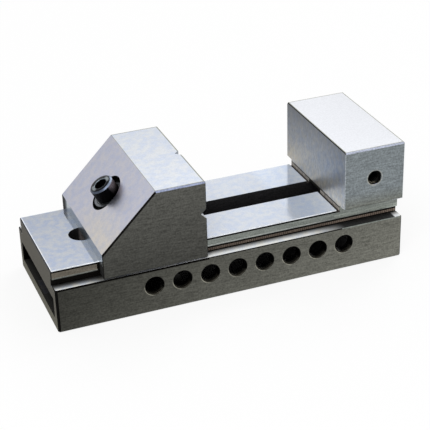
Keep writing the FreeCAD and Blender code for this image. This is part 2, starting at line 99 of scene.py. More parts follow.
# 1 between two distances in millimetres, with soft ends
def between(tree, distance, low, high, soft=0.08):
    middle, half = (low + high) / 2 * mm, (high - low) / 2 * mm
    off = addNode(tree, "Math", {0: distance, 1: middle}, operation="SUBTRACT")
    off = addNode(tree, "Math", {0: off}, operation="ABSOLUTE")
    return addNode(tree, "MapRange", {0: off, 1: half + soft * mm, 2: half - soft * mm, 3: 0.0, 4: 1.0})


# The cosines between which a chamfer is told from the faces on both sides of it
chamferCone = (0.93, 0.98)


# 1 where a face looks along a direction, falling to 0 between two values of the cosine
def facing(tree, normal, direction, start=0.86, full=0.96):
    way = Vector(direction).normalized()
    cosine = addNode(tree, "VectorMath", {0: normal, 1: way}, output="Value", operation="DOT_PRODUCT")
    return addNode(tree, "MapRange", {0: cosine, 1: start, 2: full, 3: 0.0, 4: 1.0})


# How far a place lies along a direction, turned to a number that runs between two ends
def along(tree, place, direction, start, end, low=0.0, high=1.0):
    reach = addNode(tree, "VectorMath", {0: place, 1: direction}, output="Value", operation="DOT_PRODUCT")
    return addNode(tree, "MapRange", {0: reach, 1: start * mm, 2: end * mm, 3: low, 4: high})


def allOf(tree, *masks):
    result = masks[0]
    for mask in masks[1:]:
        result = addNode(tree, "Math", {0: result, 1: mask}, operation="MULTIPLY")
    return result


def allBut(tree, mask, hole):
    rest = addNode(tree, "Math", {0: 1.0, 1: hole}, operation="SUBTRACT")
    return addNode(tree, "Math", {0: mask, 1: rest}, operation="MULTIPLY")


# Lays finishes one over another: each is a mask and what it sets of the colour, roughness and metal share,
# or a shade that the colour so far is multiplied by
def layFinishes(tree, ground, layers):
    colour, rough, metal = linearColour(ground["colour"]), ground["rough"], ground["metal"]
    for mask, finish in layers:
        if "colour" in finish:
            tone = linearColour(finish["colour"])
            colour = addNode(tree, "Mix", {0: mask, 6: colour, 7: tone}, output=2, data_type="RGBA")
        if "rough" in finish:
            rough = addNode(tree, "Mix", {0: mask, 2: rough, 3: finish["rough"]}, data_type="FLOAT")
        if "metal" in finish:
            metal = addNode(tree, "Mix", {0: mask, 2: metal, 3: finish["metal"]}, data_type="FLOAT")
        if "shade" in finish:
            shaded = addNode(tree, "Mix", {0: 1.0, 6: colour, 7: finish["shade"]}, output=2,
                             data_type="RGBA", blend_type="MULTIPLY")
            colour = addNode(tree, "Mix", {0: mask, 6: colour, 7: shaded}, output=2, data_type="RGBA")
    return colour, rough, metal


# The marks that grinding and stoning leave in hardened steel
grindMarks = {
    "length": 7.0,  # mm along the body
    "width": 0.7,  # mm, real marks are 0.1 mm, drawn coarser so that they show
    "grain": 0.8,  # mm, drawn coarser than the real grit of about 0.05 mm
    "patch": 3.6,  # mm, soft patches of a hand-stoned face
    "cool": (0.84, 0.9, 1.03, 1),
    "warm": (1.09, 1.06, 1.0, 1),
    "darkDepth": 0.36,  # how far the marks go above and below the tone of a dark face
    "brightDepth": 0.05,
    "plainEnds": 0.6,  # share of those marks that the end faces lack
    "bump": 0.05,
}


# Grinding lines and grain for the dark faces, and cloudy patches of cool and warm for the bright ones
def grindPattern(tree, place, mirrored, brightMask, patchShare):
    length, width = grindMarks["length"] * mm, grindMarks["width"] * mm
    stretched = addNode(tree, "VectorMath", {0: place, 1: (1 / length, 1 / width, 1 / width)},
                        operation="MULTIPLY")
    lines = addNode(tree, "TexNoise", {"Vector": stretched, "Scale": 1.0, "Detail": 2.0})
    grain, patch = (
        addNode(tree, "TexNoise", {"Vector": place, "Scale": 1 / (grindMarks[key] * mm), "Detail": detail})
        for key, detail in (("grain", 1.0), ("patch", 4.0))
    )
    height = addNode(tree, "Math", {0: lines, 1: grain}, operation="ADD")
    depth = grindMarks["darkDepth"]
    dark = addNode(tree, "MapRange", {0: height, 1: 0.65, 2: 1.35, 3: 1 - depth, 4: 1 + depth})
    ends = facing(tree, mirrored, (1, 0, 0))
    endShare = addNode(tree, "Math", {0: ends, 1: grindMarks["plainEnds"]}, operation="MULTIPLY")
    dark = addNode(tree, "Mix", {0: endShare, 2: dark, 3: 1.0}, data_type="FLOAT")
    tint = addNode(tree, "ValToRGB", {0: patch})
    for stop, position, key in zip(tint.node.color_ramp.elements, (0.38, 0.62), ("cool", "warm")):
        stop.position = position
        stop.color = grindMarks[key]
    tint = addNode(tree, "Mix", {0: patchShare, 6: (1, 1, 1, 1), 7: tint}, output=2, data_type="RGBA")
    depth = grindMarks["brightDepth"]
    fine = addNode(tree, "MapRange", {0: grain, 1: 0.3, 2: 0.7, 3: 1 - depth, 4: 1 + depth})
    bright = addNode(tree, "Mix", {0: 1.0, 6: tint, 7: fine}, output=2, data_type="RGBA",
                     blend_type="MULTIPLY")
    pattern = addNode(tree, "Mix", {0: brightMask, 6: dark, 7: bright}, output=2, data_type="RGBA")
    return pattern, height


def finishSteel(tree, finish, pattern, height, bump):
    colour, rough, metal = finish
    colour = addNode(tree, "Mix", {0: 1.0, 6: colour, 7: pattern}, output=2, data_type="RGBA",
                     blend_type="MULTIPLY")
    relief = addNode(tree, "Bump", {"Strength": bump, "Distance": 0.2 * mm, "Height": height})
    steel = addNode(tree, "BsdfPrincipled", {
        "Base Color": colour,
        "Metallic": metal,
        "Roughness": rough,
        "Normal": relief,
    })
    addNode(tree, "OutputMaterial", {0: steel})


# Camera at the photograph's viewpoint, fitted to the corners of the jaws and base
camera = {
    "azimuth": 20.4944,  # degrees, to the left of straight on
    "elevation": 28.1276,
    "roll": -1.7824,
    "distance": 705.76,  # millimetres to the aim point
    "aim": (0.0, 0.0, 30.0),
    "aimOffset": (-2.821, 2.233),  # millimetres right and up from the middle of the picture
    "focal": 1336.23,  # in pixels of the 430 pixel frame
    "frame": 430,
    "sensor": 36.0,
}


def makeCamera():
    turn, rise, roll = (math.radians(camera[key]) for key in ("azimuth", "elevation", "roll"))
    ahead = Vector((math.sin(turn) * math.cos(rise), math.cos(turn) * math.cos(rise), -math.sin(rise)))
    level = Vector((math.cos(turn), -math.sin(turn), 0))
    upright = level.cross(ahead)
    right = level * math.cos(roll) + upright * math.sin(roll)
    up = upright * math.cos(roll) - level * math.sin(roll)
    across, above = camera["aimOffset"]
    place = Vector(camera["aim"]) - right * across - up * above - ahead * camera["distance"]
    data = bpy.data.cameras.new("camera")
    data.sensor_width = camera["sensor"]
    data.lens = camera["focal"] / camera["frame"] * camera["sensor"]
    data.clip_start = 0.01
    data.clip_end = 20
    eye = bpy.data.objects.new("camera", data)
    eye.matrix_world = Matrix((
        (right.x, up.x, -ahead.x, place.x * mm),
        (right.y, up.y, -ahead.y, place.y * mm),
        (right.z, up.z, -ahead.z, place.z * mm),
        (0, 0, 0, 1),
    ))
    bpy.context.scene.collection.objects.link(eye)
    bpy.context.scene.camera = eye


makeCamera()
print("stage: camera at the photograph's viewpoint")

# Vise body, places in millimetres: each face gets its own finish, ground another way, and much of its
# tone is painted light and shade, set by which way the face looks and where it lies
viseBody = {
    "ledge": 24.0,
    "undercutTop": 27.0,
    "bed": 32.0,
    "overhang": 34.5,
    "top": 67.0,
    "jawFace": 61.0,
    "halfLength": 95.0,
    "halfWidth": 36.5,
    "halfRail": 30.5,
    "halfSlot": 7.0,
    "halfChannel": 31.5,
    "channelFloor": 6.0,
    "openLedge": (2.3, 0.86),  # by the open end: power by which its painted shade brightens outwards, and its brightest tone
    "toothPitch": 1.2,  # of the cutter's marks in the undercut
    "speckle": 1.4,  # grain of the light band at the fixed jaw's foot
    "bedPatches": (0.55, 0.9),  # share of the stoned patches, by the jaws and by the open end
    "facePatches": 0.85,
    "faceMarks": (3.0, 0.9, 2.2),  # an oilstone's short upright marks on the jaw's face, drawn coarser
    "markDepth": 0.15,
    "firstHole": -44.0,
    "holePitch": 15.0,
    "holeLevel": 14.8,
    "mouth": 4.5,  # radius at which a cross hole's light ring begins
    "mouthRing": 5.05,  # and at which it ends
    "mouthGlow": 5.5,  # and at which the glint on it ends
    "stopHole": (78.0, 50.0),  # along the body and up, of the axis of both work-stop holes
    "stopSink": 4.1,
    "stopRing": 4.5,
    # where its faces run from light to dark, which is painted light and shade, or one finish gives way to
    # another: a direction, two ends along it in millimetres, and the tone at each end, which is 0 and 1
    # for a mask
    "runs": {
        "sideLength": ((1, 0, 0), -95, 95, 0.46, 1.75),
        "sideHeight": ((0, 0, 1), 0, 24, 1.1, 0.92),
        "endFoot": ((0, 0, 1), 11, 5),
        "openBed": ((1, 0, 0), -18, -68),
        "openPart": ((1, 0, 0), -20, -60),
        "bedEnd": ((1, 0, 0), -72, -76),
        "paintedReflectionRun": ((1, 0, 0), 34, 40),
        "bedWidth": ((0, 1, 0), -30, 30, 1.02, 0.82),
        "ledgeByJaw": ((1, 0, 0), -78, -71, 1.0, 0.3),
        "ledgeIntoShade": ((1, 0, 0), 42, 62, 1.0, 0.02),
        "ledgeOutOfShade": ((1, 0, 0), 90.6, 91.4),
        "milledPart": ((1, 0, 0), -58, -20),
        "milledByJaw": ((1, 0, 0), 54, 66, 0.9, 1.35),
        "faceHeight": ((0, 0, 1), 36, 66, 1.5, 0.53),
        "faceByBed": ((0, 0, 1), 33, 38, 1.14, 1.0),
        "faceWidth": ((0, 1, 0), -36, 36, 1.15, 0.62),
        "faceFoot": ((0, 0, 1), 52, 38),
        "jawSideLow": ((0, 0, 1), 43, 35),
        "jawTop": ((1, -0.4, 0), 61, 109, 1.0, 0.84),
        "channelFloor": ((1, 0, 0), -86, -94.5),
        "slotWall": ((1, 0, 0), -44, -64),
    },
    "finish": {
        # the dark tone of the sides is painted shade, and the pale tones of the bed and tops are painted
        # light
        "side": {"colour": "585852", "rough": 0.38, "metal": 1.0},
        "bed": {"colour": "D5DBE5", "rough": 0.12, "metal": 0.5},
        "openBed": {"colour": "BBC1CC", "rough": 0.08, "metal": 0.7},
        "bedLine": {"colour": "E4E8EE", "rough": 0.35, "metal": 0.3},
        # black lines of painted shade at chamfers and corners, under the bed's edge and in the stop hole's
        # sink; dark chamfers are painted shade, and the fixed jaw's light chamfers a painted highlight
        "paintedShadeLine": {"colour": "0B0A09", "rough": 0.5, "metal": 1.0},
        "edge": {"colour": "151413", "rough": 0.4, "metal": 1.0},
        "jawEdge": {"colour": "B4BACB", "rough": 0.3, "metal": 1.0},
        "faceEdge": {"colour": "9AA1A6", "rough": 0.3, "metal": 1.0},
        "topLine": {"colour": "8F9187", "rough": 0.4, "metal": 1.0},
        "openEnd": {"colour": "4D4A41", "rough": 0.8, "metal": 0.4},
        "openFoot": {"colour": "5A584B", "rough": 0.8, "metal": 0.4},
        "fixedEnd": {"colour": "6C7072", "rough": 0.38, "metal": 1.0},
        "jawTop": {"colour": "DFE1E6", "rough": 0.3, "metal": 1.0},
        "jawSide": {"colour": "7E8588", "rough": 0.38, "metal": 1.0},
        "jawSideLow": {"colour": "747771"},
        "paintedJawReflection": {"colour": "DDE6F4"},
        "jawFace": {"colour": "91979F", "rough": 0.36, "metal": 0.65},
        "faceFoot": {"colour": "A5A29A"},
        "railSide": {"colour": "7E837E", "rough": 0.38, "metal": 1.0},
        "openRail": {"colour": "645F56", "rough": 0.1},
        "railLine": {"colour": "A4A8A4"},
        "openRailLine": {"colour": "767873"},
        "railFoot": {"colour": "939992"},
        "ledge": {"colour": "F4F5F3", "rough": 0.6, "metal": 0.0},
        "undercut": {"colour": "15120F", "rough": 0.7, "metal": 0.8},
        "milled": {"colour": "87786C", "rough": 0.7, "metal": 0.3},
        "corner": {"colour": "3A3431", "rough": 0.7, "metal": 0.5},
        "cornerFoot": {"colour": "AFA9A1", "rough": 0.8, "metal": 0.2},
        "slot": {"colour": "474648", "rough": 0.6, "metal": 1.0},
        "slotWall": {"colour": "9C9493", "rough": 0.7, "metal": 0.3},
        "channel": {"colour": "0A0A09", "rough": 0.6, "metal": 1.0},
        "channelFloor": {"colour": "14130E", "rough": 0.9, "metal": 0.3},
        "mouthRing": {"colour": "8B897F", "rough": 0.4, "metal": 1.0},
        "mouthCrescent": {"colour": "A19F92", "rough": 0.4, "metal": 1.0},
        "mouthWall": {"colour": "34322B", "rough": 0.5, "metal": 0.8},
        "stopRing": {"colour": "A2A5A1", "rough": 0.4, "metal": 1.0},
        "stopCrescent": {"colour": "AAA493", "rough": 0.5, "metal": 0.8},
    },
}


# Tool steel, hardened and surface ground: the bed and the jaw's faces shine cold and pale as painted light
# and half mirror the work, the outer sides are ground coarser and painted dark as painted shade, and the
# reliefs keep their milled roughness
def makeBodySteel():
    material, tree, place = newMaterial("hardened tool steel, surface ground body")
    normal = addNode(tree, "TexCoord", output="Normal")
    plan, finish = viseBody, viseBody["finish"]
    run = {name: along(tree, place, *ends) for name, ends in plan["runs"].items()}
    mirrored = addNode(tree, "VectorMath", {0: normal}, operation="ABSOLUTE")
    folded = addNode(tree, "VectorMath", {0: place}, operation="ABSOLUTE")
    up = facing(tree, normal, (0, 0, 1))
    sideways = facing(tree, mirrored, (0, 1, 0))
    backward = facing(tree, normal, (-1, 0, 0))
    forward = facing(tree, normal, (1, 0, 0))
    sideChamfer = facing(tree, mirrored, (0, 1, 1), *chamferCone)
    endChamfer = facing(tree, mirrored, (1, 0, 1), *chamferCone)
    cornerChamfer = facing(tree, mirrored, (1, 1, 0), *chamferCone)

    # the boxes of the masks end a little outside or inside the real faces
    end, side, face = plan["halfLength"], plan["halfWidth"], plan["jawFace"]
    ledge, bed = plan["ledge"], plan["bed"]
    far, wide, inset = end + 1, side + 1, side - 1.3
    railOut, railIn, railLow = plan["halfRail"] + 0.5, plan["halfRail"] - 0.1, plan["undercutTop"] - 0.1
    onJaw = insideBox(tree, place, (face - 0.5, -wide, plan["overhang"] - 0.6), (far, wide, plan["top"] + 1))
    jawTop, jawSide, jawFace = (allOf(tree, onJaw, way) for way in (up, sideways, backward))
    topInset = insideBox(tree, place, (face + 0.9, -inset, 60), (end - 0.9, inset, 70), soft=0.12)
    rim = insideBox(tree, place, (-far, -wide, -1), (1 - end, wide, bed + 1))
    onEnd = allOf(tree, backward, rim)

    # the side is painted lighter towards the fixed jaw and towards the foot, a painted shade, and a black
    # line of painted shade runs along its top edge up to the sliding jaw's face
    sideShade = allOf(tree, run["sideLength"], run["sideHeight"])
    sideDark = insideBox(tree, place, (-far, -wide, ledge - 0.9), (-14.5, wide, ledge + 0.1), soft=0.1)
    openCorner = insideBox(tree, place, (-far, -wide, -1), (1.3 - end, wide, ledge + 1))

    # bed: more of a mirror by the open end, and painted darker there as painted shade, most to the far side,
    # with a painted highlight line round its edge there
    openTop = allOf(tree, up, run["openBed"])
    bedInset = insideBox(tree, place, (0.9 - end, 0.5 - railIn, bed - 1), (-50, railIn - 0.5, bed + 1),
                         soft=0.15)
    bedLine = allBut(tree, allOf(tree, up, run["bedEnd"]), bedInset)

    # rail: a black line of painted shade under the bed's edge, a painted highlight line along its foot and a
    # lighter one by the fixed jaw, and painted shade darker towards the open end
    railMask = insideBox(tree, place, (-far, -railOut, railLow), (far, railOut, plan["overhang"]))
    railSide = allOf(tree, railMask, sideways)
    railLine = insideBox(tree, place, (-far, -railOut, railLow), (far, railOut, railLow + 0.85))
    railLine = allOf(tree, railLine, sideways)
    railFoot = insideBox(tree, place, (face - 3, -railOut, railLow), (far, railOut, railLow + 2.3), soft=0.4)
    railDark = insideBox(tree, place, (-far, -railOut, bed - 1.3), (face - 1.5, railOut, bed - 0.38),
                         soft=0.08)

    # ledge: painted shade, bright at its outer edge, darker towards the rail and by the sliding jaw at rest,
    # and a painted shadow under the fixed jaw
    ledgeTop = insideBox(tree, place, (-far, -wide, ledge - 0.1), (far, wide, ledge + 0.1))
    ledgeTop = allOf(tree, ledgeTop, up)
    ledgeReach = along(tree, folded, (0, 1, 0), plan["halfRail"] + 0.05, side - 1.8)
    openReach = along(tree, folded, (0, 1, 0), plan["halfRail"] + 0.05, side - 0.7)
    power, tone = plan["openLedge"]
    openReach = addNode(tree, "Math", {0: openReach, 1: power}, operation="POWER")
    openReach = addNode(tree, "Math", {0: openReach, 1: tone}, operation="MULTIPLY")
    ledgeShade = addNode(tree, "Mix", {0: run["openPart"], 2: ledgeReach, 3: openReach}, data_type="FLOAT")
    byJaw = addNode(tree, "Mix", {0: run["openPart"], 2: 1.0, 3: run["ledgeByJaw"]}, data_type="FLOAT")
    jawShade = addNode(tree, "Math", {0: run["ledgeIntoShade"], 1: run["ledgeOutOfShade"]},
                       operation="MAXIMUM")
    plainChamfer = insideBox(tree, place, (face - 1, -wide, ledge - 2), (far, wide, ledge + 1))

    # undercut behind the ledge: painted black as shade, with a band of a cutter's teeth marks that fades to
    # black towards the open end and is painted lighter under the fixed jaw
    undercut = insideBox(tree, place, (0.1 - end, -railIn, 22), (far, railIn, railLow + 0.06), soft=0.02)
    milled = insideBox(tree, place, (-60, -railIn, ledge - 0.3), (far, railIn, ledge + 1.1), soft=0.15)
    milled = allOf(tree, undercut, milled, run["milledPart"])
    toothPhase = along(tree, place, (1, 0, 0), 0, plan["toothPitch"] / (2 * math.pi))
    toothPhase.node.clamp = False
    teeth = addNode(tree, "Math", {0: toothPhase}, operation="SINE")
    teeth = addNode(tree, "MapRange", {0: teeth, 1: -1.0, 2: 1.0, 3: 0.6, 4: 1.3})
    teeth = allOf(tree, teeth, run["milledByJaw"])

    # groove at the foot of the fixed jaw, painted dark as shade, with a speckled light band beside the slot
    # and a thin line of painted shade above that band
    corner = insideBox(tree, place, (face - 1.65, -railOut, 30.6), (face + 0.3, railOut, bed - 0.1),
                       soft=0.02)
    besideSlot = insideBox(tree, folded, (face - 5, plan["halfSlot"] + 0.3, 30), (face + 1, railIn, 35))
    cornerFoot = insideBox(tree, place, (face - 0.3, -railOut, bed - 0.8), (face + 0.3, railOut, bed + 1.1),
                           soft=0.12)
    cornerFoot = allOf(tree, cornerFoot, besideSlot)
    speckle = addNode(tree, "TexNoise", {"Vector": place, "Scale": 1 / (plan["speckle"] * mm), "Detail": 2.0})
    speckle = addNode(tree, "MapRange", {0: speckle, 1: 0.35, 2: 0.65, 3: 0.6, 4: 1.3})
    cornerLine = insideBox(tree, place, (face - 0.3, -railOut, bed + 1.2), (face + 0.3, railOut, bed + 1.5))

    # face of the fixed jaw: painted lighter and warmer at its foot, a painted reflection of the bed, and
    # painted shade darker upwards and to the far side, over an oilstone's marks
    marks = [1 / (length * mm) for length in plan["faceMarks"]]
    stoned = addNode(tree, "VectorMath", {0: place, 1: marks}, operation="MULTIPLY")
    stoned = addNode(tree, "TexNoise", {"Vector": stoned, "Scale": 1.0, "Detail": 2.0})
    depth = plan["markDepth"]
    stoned = addNode(tree, "MapRange", {0: stoned, 1: 0.32, 2: 0.68, 3: 1 - depth, 4: 1 + depth})
    faceShade = allOf(tree, stoned, run["faceHeight"], run["faceByBed"], run["faceWidth"])

    # inside: the slot, the channel under it and the floor seen through the open end, painted near black as
    # shade, with painted light on the slot's far wall by the open end
    channel = insideBox(tree, place, (0.1 - end, 0.05 - side, 1.0), (end - 0.1, side - 0.05, 22.9), soft=0.02)
    across, floor = plan["halfChannel"] - 0.2, plan["channelFloor"]
    floorSeen = insideBox(tree, place, (-far, -across, floor - 0.5), (-80, across, floor + 0.5))
    floorSeen = allOf(tree, up, floorSeen, run["channelFloor"])
    slotSide = plan["halfSlot"]
    slot = insideBox(tree, place, (1 - end, -slotSide - 0.2, 1.0), (end - 1, slotSide + 0.2, bed - 0.15))
    slotWall = insideBox(tree, place, (-69.6, slotSide - 0.5, 18), (-30, slotSide + 0.5, bed - 0.5), soft=0.7)
    slotWall = allOf(tree, slotWall, run["slotWall"])

    # cross holes: a ring and a crescent of painted highlight round each mouth, and painted shade on the wall
    # inside; the place is measured from the nearest hole's axis
    axes = addNode(tree, "SeparateXYZ", {0: place}).node.outputs
    halfPitch = plan["holePitch"] / 2 * mm
    fromHole = addNode(tree, "Math", {0: axes[0], 1: plan["firstHole"] * mm}, operation="SUBTRACT")
    fromHole = addNode(tree, "Math", {0: fromHole, 1: halfPitch, 2: -halfPitch}, operation="WRAP")
    level = addNode(tree, "Math", {0: axes[2], 1: plan["holeLevel"] * mm}, operation="SUBTRACT")
    holePlace = addNode(tree, "CombineXYZ", {0: fromHole, 2: level})
    holeRadius = addNode(tree, "VectorMath", {0: holePlace}, output="Value", operation="LENGTH")
    holeRow = allOf(tree, sideways, insideBox(tree, place, (-52, -wide, 6), (69, wide, 22)))
    mouthRing = allOf(tree, holeRow, between(tree, holeRadius, plan["mouth"], plan["mouthRing"], 0.12))
    mouthCrescent = allOf(
        tree,
        holeRow,
        between(tree, holeRadius, plan["mouth"], plan["mouthGlow"], 0.25),
        along(tree, holePlace, (-0.7, 0, -0.71), 3.2, 5.0),
    )
    mouthWall = insideBox(tree, folded, (-1, side - 2.3, 8), (69, side - 0.05, 12.4), soft=0.6)
    mouthWall = allOf(tree, channel, mouthWall)

    # work-stop hole: a painted black sink, which is painted shade, with a painted highlight ring and a
    # painted glint on its lower side, and its wall painted black as shade
    stopX, stopZ = plan["stopHole"]
    stopPlace, stopRadius = aroundAxis(tree, place, (stopX * mm, 0, stopZ * mm), (0, 1, 0))
    stopSink = allOf(tree, jawSide, between(tree, stopRadius, 0, plan["stopSink"]))
    stopCrescent = allOf(tree, stopSink, along(tree, stopPlace, (-0.6, 0, -0.8), 2.6, 3.5))
    stopRing = allOf(tree, jawSide, between(tree, stopRadius, plan["stopSink"], plan["stopRing"], 0.12))
    stopWall = insideBox(tree, place, (stopX - 6, 0.1 - side, stopZ - 6), (stopX + 6, side - 0.1, stopZ + 6),
                         soft=0.02)

    ground = layFinishes(tree, finish["side"], (
        (sideways, {"shade": sideShade}),
        (up, finish["bed"]),
        # the bed by the fixed jaw is tinted blue, a painted reflection of the jaw's face
        (allOf(tree, up, run["paintedReflectionRun"]), finish["paintedJawReflection"]),
        (openTop, finish["openBed"]),
        (openTop, {"shade": run["bedWidth"]}),
        (bedLine, finish["bedLine"]),
        # chamfers painted dark or light by which way they look: painted shade and painted highlight
        (sideChamfer, finish["edge"]),
        # the bed's near chamfers get the same painted highlight line
        (allOf(tree, sideChamfer, railMask), finish["bedLine"]),
        (allOf(tree, sideChamfer, plainChamfer), finish["railSide"]),
        (endChamfer, finish["edge"]),
        (allOf(tree, cornerChamfer, rim), finish["edge"]),
        (onEnd, finish["openEnd"]),
        (allOf(tree, onEnd, run["endFoot"]), finish["openFoot"]),
        (forward, finish["fixedEnd"]),
        (allOf(tree, openCorner, sideways), finish["paintedShadeLine"]),
        (allBut(tree, allBut(tree, sideDark, up), backward), finish["paintedShadeLine"]),
        (railSide, finish["railSide"]),
        (allOf(tree, railSide, run["openPart"]), finish["openRail"]),
        (railLine, finish["railLine"]),
        (allOf(tree, railLine, run["openPart"]), finish["openRailLine"]),
        (allOf(tree, railFoot, sideways), finish["railFoot"]),
        (allBut(tree, railDark, up), finish["paintedShadeLine"]),
        # painted shade: the fixed jaw's side is darker towards the bottom, and its top darker towards its end
        (jawSide, finish["jawSide"]),
        (allOf(tree, jawSide, run["jawSideLow"]), finish["jawSideLow"]),
        (jawFace, finish["jawFace"]),
        (allOf(tree, jawFace, run["faceFoot"]), finish["faceFoot"]),
        (jawFace, {"shade": faceShade}),
        (allOf(tree, onJaw, sideChamfer), finish["jawEdge"]),
        (allOf(tree, onJaw, cornerChamfer), finish["faceEdge"]),
        (jawTop, finish["jawTop"]),
        (jawTop, {"shade": run["jawTop"]}),
        (allBut(tree, jawTop, topInset), finish["topLine"]),
        (ledgeTop, finish["ledge"]),
        (ledgeTop, {"shade": allOf(tree, ledgeShade, byJaw)}),
        (ledgeTop, {"shade": jawShade}),
        (undercut, finish["undercut"]),
        (milled, finish["milled"]),
        (milled, {"shade": teeth}),
        (corner, finish["corner"]),
        (cornerFoot, finish["cornerFoot"]),
        (cornerFoot, {"shade": speckle}),
        (allOf(tree, cornerLine, backward), finish["corner"]),
        (channel, finish["channel"]),
        (floorSeen, finish["channelFloor"]),
        (slot, finish["slot"]),
        (slotWall, finish["slotWall"]),
        (mouthWall, finish["mouthWall"]),
        (mouthRing, finish["mouthRing"]),
        (mouthCrescent, finish["mouthCrescent"]),
        (stopSink, finish["paintedShadeLine"]),
        (stopCrescent, finish["stopCrescent"]),
        (stopRing, finish["stopRing"]),
        (stopWall, finish["channel"]),
    ))
    smooth = addNode(tree, "Math", {0: up, 1: jawFace}, operation="MAXIMUM")
    byJaws, byOpenEnd = plan["bedPatches"]
    bedShare = addNode(tree, "MapRange", {0: run["openBed"], 1: 0.0, 2: 1.0, 3: byJaws, 4: byOpenEnd})
    faceShare = addNode(tree, "Math", {0: jawFace, 1: plan["facePatches"]}, operation="MULTIPLY")
    patchShare = addNode(tree, "Math", {0: allBut(tree, bedShare, onJaw), 1: faceShare}, operation="ADD")
    pattern, height = grindPattern(tree, place, mirrored, smooth, patchShare)
    finishSteel(tree, ground, pattern, height, grindMarks["bump"])
    return material


# Sliding jaw where it stands at rest, in millimetres; the pocket is measured in the slant's own frame
slidingJaw = {
    "back": -70.0,
    "slantTo": -41.0,
    "face": -15.0,
    "halfWidth": 36.5,
    "halfGuide": 30.7,
    "bed": 32.0,  # the rail's top, on which the jaw slides
    "halfVee": 3.4,  # of the upright groove
    "levelVee": (46.2, 52.8),
    "slantLevel": 76.37,  # distance of the slanted plane from the origin
    "pocketLow": -12.4,  # along the slant from the seat's middle
    "pocketHigh": 8.8,
    "pocketHalf": 9.3,
    "pocketDepth": 1.8,
    "floorMiddle": (-3.0, 0.9, 0.0),  # of the painted light on the floor in the pocket's round lower end
    "floorRadius": 7.0,
    "floorTo": -4.0,
    "patches": 0.55,
    # as on the body: a direction, two ends along it in millimetres, and the tone at each end
    "runs": {
        "sideHeight": ((0, 0, 1), 24.5, 67.0, 0.78, 1.35),
        "topWidth": ((0, 1, 0), -30, 30, 1.0, 0.9),
        "slantLow": ((0, 0, 1), 54, 42),
        "slantNear": ((0, 1, 0), 14, -16),
        "backFar": ((0, 1, 0), 26, 31),
        "skirtBack": ((0, 0, 1), 35.5, 31.5),
    },
    "finish": {
        "side": {"colour": "4E4E4A", "rough": 0.4, "metal": 1.0},
        "slant": {"colour": "BABBC7", "rough": 0.3, "metal": 1.0},
        "slantLow": {"colour": "C4C0BD"},
        "top": {"colour": "DDE2EA", "rough": 0.28, "metal": 1.0},
        "back": {"colour": "A3ABB2", "rough": 0.35, "metal": 1.0},
        "skirtBack": {"colour": "080807", "rough": 0.9, "metal": 0.2},
        "backFar": {"colour": "242828", "rough": 0.9, "metal": 0.3},
        "face": {"colour": "8E959F", "rough": 0.25, "metal": 0.8},
        "under": {"colour": "2A2A27", "rough": 0.5, "metal": 1.0},
        "topEdge": {"colour": "959DB8", "rough": 0.3, "metal": 1.0},
        "slantEdge": {"colour": "121211", "rough": 0.4, "metal": 1.0},
        "edge": {"colour": "1C1B1A", "rough": 0.4, "metal": 1.0},
        "topLine": {"colour": "8E9084", "rough": 0.4, "metal": 1.0},
        "vee": {"colour": "B9BDC2", "rough": 0.45, "metal": 0.5},
        "pocketFloor": {"colour": "9A9CA0", "rough": 0.5, "metal": 0.4},
        "inside": {"colour": "080807", "rough": 0.7, "metal": 1.0},
    },
}
